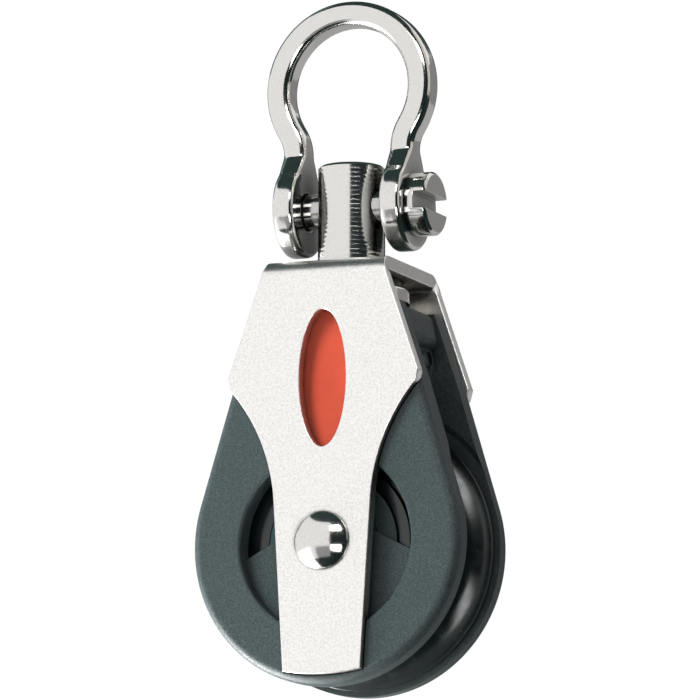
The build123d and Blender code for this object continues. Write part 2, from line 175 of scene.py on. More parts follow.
class BlockSizes(bpy.types.PropertyGroup):
    """Sizes that can be changed without touching the fits."""

    strap_thickness: length("Strap thickness", "Thickness of the sheet that the strap is bent from", 1.5 * MM)
    strap_edge: length("Strap edge round", "Rounding of the strap's blanked edges", 0.13 * MM)
    edge_round: length("Moulded edge round", "Rounding of the moulded and turned edges", 0.12 * MM)
    turning_pitch: length("Turning pitch", "Distance between the tool marks on the post", 0.5 * MM)
    turning_depth: length("Turning depth", "Depth of the tool marks on the post", 0.02 * MM)
    forging_voxel: length("Forging detail", "Size of the detail kept on the forged bow", 0.15 * MM)


class BlockColours(bpy.types.PropertyGroup):
    """Base colours of the finishes."""

    strap: colour("Strap", "Satin sheet steel", (0.95, 0.935, 0.91))
    bow: colour("Bow and pin", "Polished forged steel", (0.74, 0.73, 0.71))
    post: colour("Post", "Turned steel", (0.74, 0.73, 0.71))
    cheek: colour("Cheeks", "Glass-filled moulding", (0.0165, 0.0265, 0.0270))
    insert: colour("Inserts", "Bright moulded plates", (0.385, 0.053, 0.027))
    # The sheave's base is near-black acetal with a bluish-green tint added as painted reflection.
    sheave: colour("Sheave", "Polished acetal", (0.0020, 0.0060, 0.0062))
    washer: colour("Washers", "Plain acetal", (0.010, 0.011, 0.011))
    bearing: colour("Balls and race", "Polished bearing steel", (0.62, 0.62, 0.61))


class StageSettings(bpy.types.PropertyGroup):
    """Camera, light and floor."""

    target_height: length("Target height", "Height of the point that the camera looks at", 20.0 * MM)
    distance: length("Camera distance", "Distance from the camera to that point", 832.0 * MM)
    azimuth: FloatProperty(
        name="Azimuth",
        description="Camera's turn to the right of the front",
        default=math.radians(22.4),
        subtype="ANGLE",
    )
    elevation: FloatProperty(
        name="Elevation",
        description="Camera's angle above the block's level, below it when negative",
        default=math.radians(-9.15),
        subtype="ANGLE",
    )
    roll: FloatProperty(
        name="Roll", description="Camera's roll to the left", default=math.radians(0.24), subtype="ANGLE"
    )
    lens: FloatProperty(name="Lens", description="Focal length in millimetres", default=386.8, min=1.0)
    floor_drop: length("Floor drop", "How far the floor lies below the sheave's centre", 170.0 * MM)
    key_power: FloatProperty(
        name="Key light", description="Power of the main soft light", default=12.0, min=0.0, unit="POWER"
    )
    rim_power: FloatProperty(
        name="Rim light", description="Power of the low light at the left", default=1.6, min=0.0, unit="POWER"
    )
    sky: FloatProperty(
        name="Fill", description="Brightness of the even light from all around", default=0.45, min=0.0
    )


def sizes():
    return bpy.context.scene.block_sizes


def colours():
    return bpy.context.scene.block_colours


# ---------------------------------------------------------------- meshes

def link(obj):
    bpy.context.scene.collection.objects.link(obj)
    return obj


def mesh_object(name, work):
    """New object from a bmesh, which is freed."""
    bmesh.ops.recalc_face_normals(work, faces=work.faces)
    mesh = bpy.data.meshes.new(name)
    work.to_mesh(mesh)
    work.free()
    return link(bpy.data.objects.new(name, mesh))


def smooth(obj, angle=30.0):
    """Smooth shading with edges kept sharp past an angle in degrees."""
    obj.data.shade_smooth()
    obj.data.set_sharp_from_angle(angle=math.radians(angle))


def apply_modifiers(obj):
    """Bakes an object's modifiers into its mesh."""
    graph = bpy.context.evaluated_depsgraph_get()
    made = bpy.data.meshes.new_from_object(obj.evaluated_get(graph))
    obj.modifiers.clear()
    old = obj.data
    obj.data = made
    bpy.data.meshes.remove(old)


def weighted_normals(obj):
    """Keeps flat faces flat beside their small rounded edges."""
    mod = obj.modifiers.new("weighted", "WEIGHTED_NORMAL")
    mod.keep_sharp = True
    mod.weight = 100
    apply_modifiers(obj)


def arc(centre, radius, start, end, steps):
    """Points on an arc, with angles in radians."""
    turns = [start + (end - start) * k / steps for k in range(steps + 1)]
    return [(centre[0] + radius * math.cos(t), centre[1] + radius * math.sin(t)) for t in turns]


def oval(centre, half_x, half_y, steps=72):
    """Points of an ellipse."""
    turns = [2 * math.pi * k / steps for k in range(steps)]
    return [(centre[0] + half_x * math.cos(t), centre[1] + half_y * math.sin(t)) for t in turns]


def rounded(points, radius, steps=4, closed=True):
    """A polyline with each sharp corner turned into a small arc."""
    made = []
    count = len(points)
    for k, point in enumerate(points):
        here = Vector(point)
        if not closed and k in (0, count - 1):
            made.append(tuple(here))
            continue
        back = Vector(points[k - 1]) - here
        ahead = Vector(points[(k + 1) % count]) - here
        turn = math.pi - back.angle(ahead)
        if turn < math.radians(12):
            made.append(tuple(here))
            continue
        cut = min(radius * math.tan(turn / 2), back.length * 0.45, ahead.length * 0.45)
        first = here + back.normalized() * cut
        last = here + ahead.normalized() * cut
        for step in range(steps + 1):
            t = step / steps
            spot = first * (1 - t) ** 2 + here * (2 * t * (1 - t)) + last * t**2
            made.append(tuple(spot))
    return made


def lathe(name, profile, axis="Z", centre=(0, 0, 0), segments=160, closed=True):
    """Turned solid. The profile is (radius, along) points; an open one starts and ends on the axis."""
    work = bmesh.new()
    middle = Vector(centre)
    rings = []
    for radius, along in profile:
        if radius < 1e-7:
            spot = {"Z": Vector((0, 0, along)), "Y": Vector((0, along, 0)), "X": Vector((along, 0, 0))}[axis]
            rings.append([work.verts.new(middle + spot)])
            continue
        ring = []
        for k in range(segments):
            a = 2 * math.pi * k / segments
            u = radius * math.cos(a)
            v = radius * math.sin(a)
            spot = {"Z": Vector((u, v, along)), "Y": Vector((u, along, v)), "X": Vector((along, u, v))}[axis]
            ring.append(work.verts.new(middle + spot))
        rings.append(ring)
    pairs = list(zip(rings, rings[1:]))
    if closed:
        pairs.append((rings[-1], rings[0]))
    for low, high in pairs:
        for k in range(segments):
            n = (k + 1) % segments
            corners = [low[k % len(low)], low[n % len(low)], high[n % len(high)], high[k % len(high)]]
            corners = list(dict.fromkeys(corners))
            if len(corners) > 2:
                work.faces.new(corners)
    return mesh_object(name, work)


def plate(name, loops, thickness, edge):
    """Flat plate about z = 0 with rounded edges, from closed (x, y) loops: the outside, then any holes."""
    curve = bpy.data.curves.new(name, "CURVE")
    curve.dimensions = "2D"
    curve.fill_mode = "BOTH"
    curve.extrude = thickness / 2 - edge
    curve.bevel_depth = edge
    curve.bevel_resolution = 2
    curve.offset = -edge
    for loop in loops:
        spline = curve.splines.new("POLY")
        spline.points.add(len(loop) - 1)
        for point, (x, y) in zip(spline.points, loop):
            point.co = (x, y, 0, 1)
        spline.use_cyclic_u = True
    holder = link(bpy.data.objects.new(name, curve))
    graph = bpy.context.evaluated_depsgraph_get()
    mesh = bpy.data.meshes.new_from_object(holder.evaluated_get(graph))
    bpy.data.objects.remove(holder)
    bpy.data.curves.remove(curve)
    mesh.name = name
    work = bmesh.new()
    work.from_mesh(mesh)
    bmesh.ops.remove_doubles(work, verts=work.verts, dist=1e-7)
    bpy.data.meshes.remove(mesh)
    return work


def eased_copy(name, node, edge, angle=28.0, segments=2):
    """A copy of a node's shape with its sharp edges rounded."""
    work = bmesh.new()
    work.from_mesh(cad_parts[node].data)
    bmesh.ops.remove_doubles(work, verts=work.verts, dist=1e-6)
    bmesh.ops.dissolve_limit(work, angle_limit=math.radians(1.0), verts=work.verts, edges=work.edges)
    obj = mesh_object(name, work)
    mod = obj.modifiers.new("ease", "BEVEL")
    mod.width = edge
    mod.segments = segments
    mod.limit_method = "ANGLE"
    mod.angle_limit = math.radians(angle)
    mod.use_clamp_overlap = True
    apply_modifiers(obj)
    smooth(obj, 40.0)
    weighted_normals(obj)
    return obj


def place(obj, material, body, slot, *nodes):
    """Finishes a piece: its material, its body and the nodes that it stands for, which it hides. The slot
    argument is not used.
    """
    obj.data.materials.clear()
    obj.data.materials.append(material)
    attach(obj, body)
    if nodes:
        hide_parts(*nodes)
    return obj


# ---------------------------------------------------------------- finishes

class Finish:
    """A procedural material with its nodes laid out in object space, in millimetres."""

    def __init__(self, name, base, metallic=0.0, roughness=0.5):
        self.material = bpy.data.materials.new(name)
        self.material.use_nodes = True
        self.tree = self.material.node_tree
        self.shader = self.tree.nodes["Principled BSDF"]
        self.shader.inputs["Base Color"].default_value = (*base, 1.0)
        self.shader.inputs["Metallic"].default_value = metallic
        self.shader.inputs["Roughness"].default_value = roughness
        self.base = base
        coords = self.tree.nodes.new("ShaderNodeTexCoord")
        scale = self.tree.nodes.new("ShaderNodeVectorMath")
        scale.operation = "SCALE"
        scale.inputs["Scale"].default_value = 1.0 / MM
        self.join(coords.outputs["Object"], scale.inputs[0])
        self.space = scale.outputs["Vector"]
        self.bump_end = None

    def join(self, a, b):
        self.tree.links.new(a, b)

    def stretched(self, x, y, z):
        """Object space stretched along an axis, for grain and turning marks."""
        node = self.tree.nodes.new("ShaderNodeVectorMath")
        node.operation = "MULTIPLY"
        node.inputs[1].default_value = (x, y, z)
        self.join(self.space, node.inputs[0])
        return node.outputs["Vector"]

    def noise(self, scale, detail=3.0, rough=0.55, space=None):
        node = self.tree.nodes.new("ShaderNodeTexNoise")
        node.inputs["Scale"].default_value = scale
        node.inputs["Detail"].default_value = detail
        node.inputs["Roughness"].default_value = rough
        self.join(space or self.space, node.inputs["Vector"])
        return node.outputs["Fac"]

    def spread(self, value, low, high, to_low=0.0, to_high=1.0):
        node = self.tree.nodes.new("ShaderNodeMapRange")
        node.inputs["From Min"].default_value = low
        node.inputs["From Max"].default_value = high
        node.inputs["To Min"].default_value = to_low
        node.inputs["To Max"].default_value = to_high
        self.join(value, node.inputs["Value"])
        return node.outputs["Result"]

    def tint(self, value, colour_high):
        """Mixes the base colour towards another by a value."""
        node = self.tree.nodes.new("ShaderNodeMix")
        node.data_type = "RGBA"
        source = self.shader.inputs["Base Color"]
        if source.is_linked:
            self.join(source.links[0].from_socket, node.inputs["A"])
        else:
            node.inputs["A"].default_value = source.default_value
        node.inputs["B"].default_value = (*colour_high, 1.0)
        self.join(value, node.inputs["Factor"])
        self.join(node.outputs["Result"], source)

    def paint_gap_shade(self, reach, depth):
        """Paints shade into the base colour: darkens it where other surfaces stand close by."""
        node = self.tree.nodes.new("ShaderNodeAmbientOcclusion")
        node.samples = PAINTED_GAP_SHADE_SAMPLES
        node.inputs["Distance"].default_value = reach
        self.tint(self.spread(node.outputs["AO"], *PAINTED_GAP_SHADE_OPENNESS, depth, 0.0), PAINTED_GAP_SHADE_TONE)

    def roughen(self, value, low, high):
        self.join(self.spread(value, 0.3, 0.7, low, high), self.shader.inputs["Roughness"])

    def bump(self, value, strength, distance):
        """Adds relief, whose height is in metres."""
        node = self.tree.nodes.new("ShaderNodeBump")
        node.inputs["Strength"].default_value = strength
        node.inputs["Distance"].default_value = distance
        self.join(value, node.inputs["Height"])
        if self.bump_end:
            self.join(self.bump_end, node.inputs["Normal"])
        self.bump_end = node.outputs["Normal"]
        self.join(self.bump_end, self.shader.inputs["Normal"])


def toned(base, factor):
    """A colour made lighter or darker."""
    return tuple(min(1.0, factor * channel) for channel in base)


def strap_satin():
    base = colours().strap
    finish = Finish("strap_satin", base, 1.0, 0.3)
    grain = finish.noise(4.2, 2.0, 0.8)
    cloud = finish.noise(0.35, 2.0)
    finish.roughen(finish.noise(3.0, 3.0, 0.6, finish.stretched(1.0, 1.0, 0.4)), 0.27, 0.36)
    finish.tint(finish.spread(cloud, 0.3, 0.7, 0.0, 0.5), toned(base, 0.97))
    finish.tint(finish.spread(grain, 0.42, 0.64), toned(base, 0.80))
    # Painted shade: the satin colour darkens where other parts stand close.
    finish.paint_gap_shade(1.2 * MM, 0.9)
    finish.bump(grain, 0.2, 0.01 * MM)
    return finish.material


def polished_steel(name, base, roughness):
    finish = Finish(name, base, 1.0, roughness)
    scuffs = finish.noise(5.0, 4.0, 0.7)
    finish.roughen(scuffs, roughness * 0.7, roughness * 1.6)
    finish.tint(finish.spread(finish.noise(7.0, 3.0, 0.7), 0.42, 0.68), toned(base, 0.86))
    # Painted shade: the steel colour darkens in gaps where other parts stand close.
    finish.paint_gap_shade(4.0 * MM, 0.9)
    finish.bump(finish.noise(0.6, 2.0, 0.5), 0.5, 0.05 * MM)
    finish.bump(scuffs, 0.15, 0.008 * MM)
    return finish.material


def turned_steel():
    base = colours().post
    finish = Finish("turned_steel", base, 1.0, 0.16)
    rings = finish.noise(1.0, 3.0, 0.6, finish.stretched(0.02, 0.02, 2.8))
    finish.roughen(rings, 0.10, 0.22)
    finish.tint(finish.spread(finish.noise(7.0, 3.0, 0.7), 0.42, 0.68), toned(base, 0.9))
    # Painted shade: the turned steel darkens in gaps where other parts stand close.
    finish.paint_gap_shade(1.5 * MM, 0.5)
    finish.bump(rings, 0.4, 0.015 * MM)
    return finish.material


def cheek_moulding():
    base = colours().cheek
    finish = Finish("cheek_moulding", base, 0.0, 0.5)
    spark = finish.noise(3.1, 3.0, 0.7)
    fine = finish.noise(6.0, 3.0, 0.75)
    cloud = finish.noise(0.3, 3.0)
    finish.tint(finish.spread(cloud, 0.35, 0.7, 0.0, 0.6), toned(base, 0.85))
    finish.tint(finish.spread(spark, 0.44, 0.64), toned(CHEEK_FLECK, 0.63))
    finish.tint(finish.spread(fine, 0.52, 0.66, 0.0, 0.8), CHEEK_FLECK)
    finish.tint(finish.spread(fine, 0.47, 0.34, 0.0, 0.9), toned(base, 0.30))
    # Painted shade: the moulding darkens in gaps and beside the strap where other parts stand close.
    finish.paint_gap_shade(1.2 * MM, 0.85)
    finish.roughen(spark, 0.44, 0.62)
    finish.bump(spark, 0.6, 0.03 * MM)
    return finish.material


def insert_moulding():
    base = colours().insert
    finish = Finish("insert_moulding", base, 0.0, 0.38)
    finish.shader.inputs["Specular IOR Level"].default_value = 0.2
    cloud = finish.noise(0.5, 3.0)
    fine = finish.noise(6.0, 3.0, 0.7)
    finish.tint(finish.spread(cloud, 0.35, 0.75, 0.0, 0.5), toned(base, 0.8))
    finish.tint(finish.spread(fine, 0.45, 0.7, 0.0, 0.5), toned(base, 1.2))
    finish.roughen(fine, 0.30, 0.46)
    finish.bump(fine, 0.2, 0.01 * MM)
    return finish.material


def sheave_acetal():
    base = colours().sheave
    finish = Finish("sheave_acetal", base, 0.0, 0.22)
    finish.shader.inputs["Specular IOR Level"].default_value = 0.7
    wear = finish.noise(0.8, 4.0, 0.6)
    finish.roughen(wear, 0.18, 0.28)
    finish.tint(finish.spread(wear, 0.5, 0.8), toned(base, 2.5))
    finish.bump(finish.noise(6.0, 4.0, 0.7), 0.12, 0.008 * MM)
    return finish.material


def plain_acetal(name, base, roughness):
    finish = Finish(name, base, 0.0, roughness)
    fine = finish.noise(4.0, 3.0, 0.6)
    finish.roughen(fine, roughness * 0.8, roughness * 1.3)
    finish.tint(finish.spread(fine, 0.45, 0.75), toned(base, 2.2))
    finish.bump(fine, 0.3, 0.015 * MM)
    return finish.material


def finish_by_name(name, maker, *given):
    """Makes a finish once and then reuses it."""
    return bpy.data.materials.get(name) or maker(*given)


# ---------------------------------------------------------------- pieces

class PieceOperator:
    """What the operators for the pieces share."""

    bl_options = {"REGISTER", "UNDO"}

    def execute(self, context):
        self.make()
        return {"FINISHED"}


class SHEAVEBLOCK_OT_strap(PieceOperator, bpy.types.Operator):
    """Bends the load strap from a flat blank with rounded edges"""

    bl_idname = "sheave_block.strap"
    bl_label = "Load strap"

    def half_outline(self):
        """Right-hand edge of one leg as (x, z), from the rounded end to the bridge."""
        top = STRAP_HIGH.z
        end_z = STRAP_LOW.z
        wide = STRAP_HIGH.x
        shoulder_z = SHEAVE_HIGH.z + SHOULDER_RISE
        waist = Vector(STRAP_WAIST)
        end = Vector((STRAP_END_HALF, end_z + STRAP_END_CROWN))
        undercut = Vector((wide - SHOULDER_UNDERCUT, shoulder_z - SHOULDER_EDGE))
        leg = (waist - end).normalized()
        chord = undercut - waist
        turn = 2 * leg.angle(chord)
        radius = chord.length / (2 * math.sin(turn / 2))
        centre = waist + Vector((leg.y, -leg.x)) * radius
        start = math.atan2(waist.y - centre.y, waist.x - centre.x)
        crown = [(end.x * t, end_z + STRAP_END_CROWN * t * t) for t in (0.0, 0.25, 0.5, 0.75)]
        flank = arc(centre, radius, start, start - turn, 24)
        slant_end = (STRAP_TOP_HALF, top - STRAP_SLANT_DROP)
        corners = [tuple(undercut), (wide, shoulder_z), slant_end, (STRAP_TOP_HALF, top)]
        corner = rounded(corners, STRAP_CORNER, closed=False)
        return crown + [tuple(end)] + flank + corner[1:-1]

    def make(self):
        thick = sizes().strap_thickness
        mid = STRAP_HIGH.y - thick / 2
        bend = STRAP_INNER_BEND + thick / 2
        bend_y = mid - bend
        bend_z = STRAP_HIGH.z - thick / 2 - bend
        quarter = bend * math.pi / 2
        reach = bend_y + quarter

        def along(z):
            return reach + bend_z - z

        edge = [(x, along(z)) for x, z in self.half_outline()]
        edge = [p for p in edge if p[1] > bend_y]
        right = edge[::-1]
        outline = [(x, -s) for x, s in edge] + right
        outline += [(-x, s) for x, s in edge[1:]] + [(-x, -s) for x, s in right[:-1]]
        window_z = (INSERT_LOW.z + INSERT_HIGH.z) / 2
        loops = [outline, oval((0, 0), SPIGOT_HOLE, SPIGOT_HOLE)]
        for side in (-1, 1):
            loops.append(oval((0, side * along(window_z)), *WINDOW_HALF))
            loops.append(oval((0, side * along(0.0)), AXLE_HOLE, AXLE_HOLE))
        work = plate("strap_sheet", loops, thick, sizes().strap_edge)
        for side in (-1, 1):
            for k in range(13):
                cut = side * (bend_y + quarter * k / 12)
                everything = work.verts[:] + work.edges[:] + work.faces[:]
                bmesh.ops.bisect_plane(work, geom=everything, plane_co=(0, cut, 0), plane_no=(0, 1, 0))
        for vert in work.verts:
            x, s, t = vert.co
            side = -1 if s < 0 else 1
            reached = abs(s)
            if reached <= bend_y:
                vert.co = (x, s, STRAP_HIGH.z - thick / 2 + t)
            elif reached <= reach:
                a = (reached - bend_y) / bend
                vert.co = (x, side * (bend_y + (bend + t) * math.sin(a)), bend_z + (bend + t) * math.cos(a))
            else:
                vert.co = (x, side * (mid + t), bend_z - (reached - reach))
        strap = mesh_object("strap_sheet", work)
        smooth(strap, 40.0)
        weighted_normals(strap)
        place(strap, finish_by_name("strap_satin", strap_satin), "block", "strap_steel", "load_strap")


class SHEAVEBLOCK_OT_cheeks(PieceOperator, bpy.types.Operator):
    """Makes the two moulded cheeks with eased edges, and the small ribs under their web"""

    bl_idname = "sheave_block.cheeks"
    bl_label = "Cheeks"

    def rib(self, name, x, side):
        """Round-backed rib that follows the underside of the web down on to the cheek."""
        turn = arc((WEB_FACE - WEB_ROOT, WEB_BOTTOM - WEB_ROOT), WEB_ROOT, math.pi / 2, 0.0, 10)
        path = [(RIB_START, WEB_BOTTOM)] + turn + [(WEB_FACE, WEB_BOTTOM - WEB_ROOT - RIB_FOOT)]
        work = bmesh.new()
        rings = []
        for k, (y, z) in enumerate(path):
            back = Vector(path[max(k - 1, 0)])
            ahead = Vector(path[min(k + 1, len(path) - 1)])
            run = (ahead - back).normalized()
            taper = 0.2 if k in (0, len(path) - 1) else 1.0
            ring = []
            for dx, lift in arc((0, 0), RIB_RADIUS * taper, 0.0, 2 * math.pi * 11 / 12, 11):
                ring.append(work.verts.new((x + dx, side * (y - run.y * lift), z + run.x * lift)))
            rings.append(ring)
        for low, high in zip(rings, rings[1:]):
            for k in range(len(low)):
                n = (k + 1) % len(low)
                work.faces.new((low[k], low[n], high[n], high[k]))
        work.faces.new(rings[0])
        work.faces.new(rings[-1])
        rib = mesh_object(name, work)
        smooth(rib, 50.0)
        return rib

    def make(self):
        finish = finish_by_name("cheek_moulding", cheek_moulding)
        for end in ("front", "rear"):
            cheek = eased_copy(f"{end}_cheek_moulding", f"{end}_cheek", sizes().edge_round)
            place(cheek, finish, "block", "cheek_plastic", f"{end}_cheek")
            side = -1 if end == "front" else 1
            for hand in (-1, 1):
                for number, offset in enumerate(RIB_PLACES):
                    flank_name = "left" if hand < 0 else "right"
                    rib = self.rib(f"{end}_web_rib_{flank_name}_{number}", hand * offset, side)
                    place(rib, finish, "block", "cheek_plastic")


class SHEAVEBLOCK_OT_inserts(PieceOperator, bpy.types.Operator):
    """Makes the coloured plates behind the strap's windows"""

    bl_idname = "sheave_block.inserts"
    bl_label = "Inserts"

    def make(self):
        finish = finish_by_name("insert_moulding", insert_moulding)
        half_x = INSERT_HIGH.x
        half_z = (INSERT_HIGH.z - INSERT_LOW.z) / 2
        centre_z = (INSERT_HIGH.z + INSERT_LOW.z) / 2
        thick = INSERT_HIGH.y - INSERT_LOW.y
        middle_y = (INSERT_HIGH.y + INSERT_LOW.y) / 2
        for end, side in (("front", -1), ("rear", 1)):
            work = plate(f"{end}_insert_plate", [oval((0, 0), half_x, half_z)], thick, sizes().edge_round)
            for vert in work.verts:
                x, z, t = vert.co
                vert.co = (x, side * (abs(middle_y) + t), centre_z + z)
            piece = mesh_object(f"{end}_insert_plate", work)
            smooth(piece)
            weighted_normals(piece)
            place(piece, finish, "block", "insert_plastic", f"{end}_insert")


class SHEAVEBLOCK_OT_sheave(PieceOperator, bpy.types.Operator):
    """Turns the grooved sheave"""

    bl_idname = "sheave_block.sheave"
    bl_label = "Sheave"

    def make(self):
        outer = SHEAVE_HIGH.z
        half = SHEAVE_HIGH.y
        centre = outer - GROOVE_DEPTH + GROOVE_RADIUS
        reach = math.sqrt(GROOVE_RADIUS**2 - (centre - outer) ** 2)
        start = math.atan2(reach, outer - centre)
        hollow = arc((centre, 0), GROOVE_RADIUS, start, 2 * math.pi - start, 40)
        open_half = math.acos((SHEAVE_BORE - BALL_ORBIT) / TRACK_RADIUS)
        tracks = []
        for side in (-1, 1):
            tracks += arc((BALL_ORBIT, side * BALL_ROW), TRACK_RADIUS, -open_half, open_half, 12)
        upper = [(r, half + dy) for r, dy in SHEAVE_DISH]
        lower = [(r, -y) for r, y in reversed(upper)]
        rim_top = [(outer - FLANGE_LAND, half), (outer, half - FLANGE_LAND)]
        rim_low = [(outer, -half + FLANGE_LAND), (outer - FLANGE_LAND, -half)]
        bore_end = [(SHEAVE_BORE, -half)]
        profile = [(SHEAVE_BORE, half)] + upper + rim_top + hollow + rim_low + lower + bore_end + tracks
        sheave = lathe("sheave_turned", rounded(profile, 0.1 * MM, 3), "Y", segments=220)
        smooth(sheave)
        place(sheave, finish_by_name("sheave_acetal", sheave_acetal), "sheave", "sheave_plastic", "sheave")


class SHEAVEBLOCK_OT_rivet(PieceOperator, bpy.types.Operator):
    """Turns the axle rivet with its polished dome and its formed head"""

    bl_idname = "sheave_block.rivet"
    bl_label = "Axle rivet"

    def make(self):
        face = STRAP_HIGH.y
        radius = RIVET_HIGH.x
        rise = -RIVET_LOW.y - face - RIVET_RIM
        ball = (radius**2 + rise**2) / (2 * rise)
        centre_y = RIVET_LOW.y + ball
        roll_x = radius - RIVET_ROLL
        spread = math.asin(roll_x / (ball - RIVET_ROLL))
        roll_y = centre_y - (ball - RIVET_ROLL) * math.cos(spread)
        down = -math.pi / 2
        crown = arc((0, centre_y), ball, down, down + spread, 28)
        roll = arc((roll_x, roll_y), RIVET_ROLL, down + spread, 0.0, 8)
        formed = rounded([(r, face + y) for r, y in FORMED_HEAD], sizes().edge_round * 2, 4, closed=False)
        profile = crown + roll[1:] + [(radius, -face), (SHANK_RADIUS, -face)] + formed
        rivet = lathe("rivet_polished", profile, "Y", segments=128, closed=False)
        smooth(rivet)
        finish = finish_by_name("rivet_mirror", polished_steel, "rivet_mirror", colours().bow, 0.12)
        place(rivet, finish, "block", "rivet_steel", "axle_rivet")


class SHEAVEBLOCK_OT_bearing(PieceOperator, bpy.types.Operator):
    """Gives the sleeve, race, retainers, balls and dowels their finishes"""

    bl_idname = "sheave_block.bearing"
    bl_label = "Bearing"

    def make(self):
        steel = finish_by_name("bearing_steel", polished_steel, "bearing_steel", colours().bearing, 0.09)
        # Race and retainer colour: dark acetal, lightened and tinted bluish-green as painted reflection.
        acetal = finish_by_name("race_acetal", plain_acetal, "race_acetal", (0.014, 0.031, 0.032), 0.5)
        for node in ("front_balls", "rear_balls", "axle_sleeve", "cheek_dowels"):
            finish_node(node, steel)
        finish_node("inner_race", acetal)
        for end in ("front", "rear"):
            ring = eased_copy(f"{end}_retainer_ring", f"{end}_retainer", 0.1 * MM)
            place(ring, acetal, "block", "race_plastic", f"{end}_retainer")


def finish_node(node, material):
    """Puts a finish on a carried-over node."""
    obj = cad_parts[node]
    obj.data.materials.clear()
    obj.data.materials.append(material)


class SHEAVEBLOCK_OT_swivel(PieceOperator, bpy.types.Operator):
    """Turns the swivel post with its tool marks, and the collar and washers"""

    bl_idname = "sheave_block.swivel"
    bl_label = "Swivel"

    def make(self):
        steel = finish_by_name("turned_steel", turned_steel)
        radius = POST_HIGH.x
        low = TOP_WASHER_HIGH.z
        high = POST_HIGH.z
        ease = sizes().edge_round
        bottom = low + ease
        top = high - POST_CHAMFER
        count = int((top - bottom) / sizes().turning_pitch)
        marks = []
        for k in range(count * MARK_STEPS + 1):
            dip = sizes().turning_depth * abs(math.sin(math.pi * k / MARK_STEPS))
            marks.append((radius - dip, bottom + (top - bottom) * k / (count * MARK_STEPS)))
        stake_top = POST_LOW.z + SPIGOT_STAKE
        foot = [(0, POST_LOW.z), (SPIGOT_RADIUS - SPIGOT_STAKE, POST_LOW.z), (SPIGOT_RADIUS, stake_top)]
        foot += [(SPIGOT_RADIUS, low), (radius - ease, low)]
        crown = [(radius - POST_CHAMFER, high - ease / 4), (radius - POST_CHAMFER - ease, high), (0, high)]
        post = lathe("post_turned", foot + marks + crown, "Z", segments=192, closed=False)
        pin_z = (PIN_LOW.z + PIN_HIGH.z) / 2
        drill_profile = [(0, -BORE_REACH), (PIN_BORE, -BORE_REACH), (PIN_BORE, BORE_REACH), (0, BORE_REACH)]
        drill = lathe("post_drill", drill_profile, "X", (0, 0, pin_z), 64, False)
        cut = post.modifiers.new("bore", "BOOLEAN")
        cut.operation = "DIFFERENCE"
        cut.solver = "EXACT"
        cut.object = drill
        apply_modifiers(post)
        bpy.data.objects.remove(drill)
        smooth(post, 35.0)
        place(post, steel, "post", "post_steel", "swivel_post")
        collar = eased_copy("collar_turned", "swivel_collar", 0.12 * MM)
        place(collar, steel, "post", "post_steel", "swivel_collar")
        acetal = finish_by_name("washer_acetal", plain_acetal, "washer_acetal", colours().washer, 0.35)
        for end in ("lower", "upper"):
            washer = eased_copy(f"{end}_washer_ring", f"{end}_swivel_washer", 0.06 * MM)
            place(washer, acetal, "post", "washer_plastic", f"{end}_swivel_washer")


class SHEAVEBLOCK_OT_bow(PieceOperator, bpy.types.Operator):
    """Makes the forged bow, with its ears blended into the bar"""

    bl_idname = "sheave_block.bow"
    bl_label = "Shackle bow"

    def make(self):
        work = bmesh.new()
        work.from_mesh(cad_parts["shackle_bow"].data)
        bmesh.ops.remove_doubles(work, verts=work.verts, dist=1e-6)
        bow = mesh_object("bow_forged", work)
        remesh = bow.modifiers.new("forge", "REMESH")
        remesh.mode = "VOXEL"
        remesh.voxel_size = sizes().forging_voxel
        flow = bow.modifiers.new("flow", "SMOOTH")
        flow.factor = 0.5
        flow.iterations = 14
        apply_modifiers(bow)
        bow.data.shade_smooth()
        finish = finish_by_name("bow_polish", polished_steel, "bow_polish", colours().bow, 0.11)
        place(bow, finish, "shackle", "bow_steel", "shackle_bow")


class SHEAVEBLOCK_OT_pin(PieceOperator, bpy.types.Operator):
    """Makes the slotted shackle pin with eased edges"""

    bl_idname = "sheave_block.pin"
    bl_label = "Shackle pin"

    def make(self):
        pin = eased_copy("pin_turned", "shackle_pin", 0.13 * MM)
        finish = finish_by_name("pin_polish", polished_steel, "pin_polish", colours().bow, 0.10)
        place(pin, finish, "pin", "pin_steel", "shackle_pin")


# ---------------------------------------------------------------- stage

def aim(obj, target):
    """Points an object's -Z at a place."""
    obj.rotation_mode = "QUATERNION"
    obj.rotation_quaternion = (Vector(target) - obj.location).to_track_quat("-Z", "Y")


def direction(azimuth, elevation):
    """Unit vector from the block towards a compass direction, 0 being the front and 90 the right."""
    a = math.radians(azimuth)
    e = math.radians(elevation)
    return Vector((math.sin(a) * math.cos(e), -math.cos(a) * math.cos(e), math.sin(e)))


def soft_light(name, azimuth, elevation, distance, width, height, power, target):
    light = bpy.data.lights.new(name, "AREA")
    light.shape = "RECTANGLE"
    light.size = width
    light.size_y = height
    light.energy = power
    obj = link(bpy.data.objects.new(name, light))
    obj.location = target + direction(azimuth, elevation) * distance
    obj.visible_camera = False
    aim(obj, target)
    return obj


def only_seen_by(obj, *rays):
    """Leaves an object visible to some kinds of ray only."""
    for ray in ("camera", "diffuse", "glossy", "transmission", "shadow", "volume_scatter"):
        setattr(obj, f"visible_{ray}", ray in rays)


def glow(name, tone, strength):
    """Plain unlit surface of one brightness."""
    finish = Finish(name, (0.0, 0.0, 0.0), 0.0, 1.0)
    finish.shader.inputs["Specular IOR Level"].default_value = 0.0
    finish.shader.inputs["Emission Color"].default_value = (*tone, 1.0)
    finish.shader.inputs["Emission Strength"].default_value = strength
    return finish.material


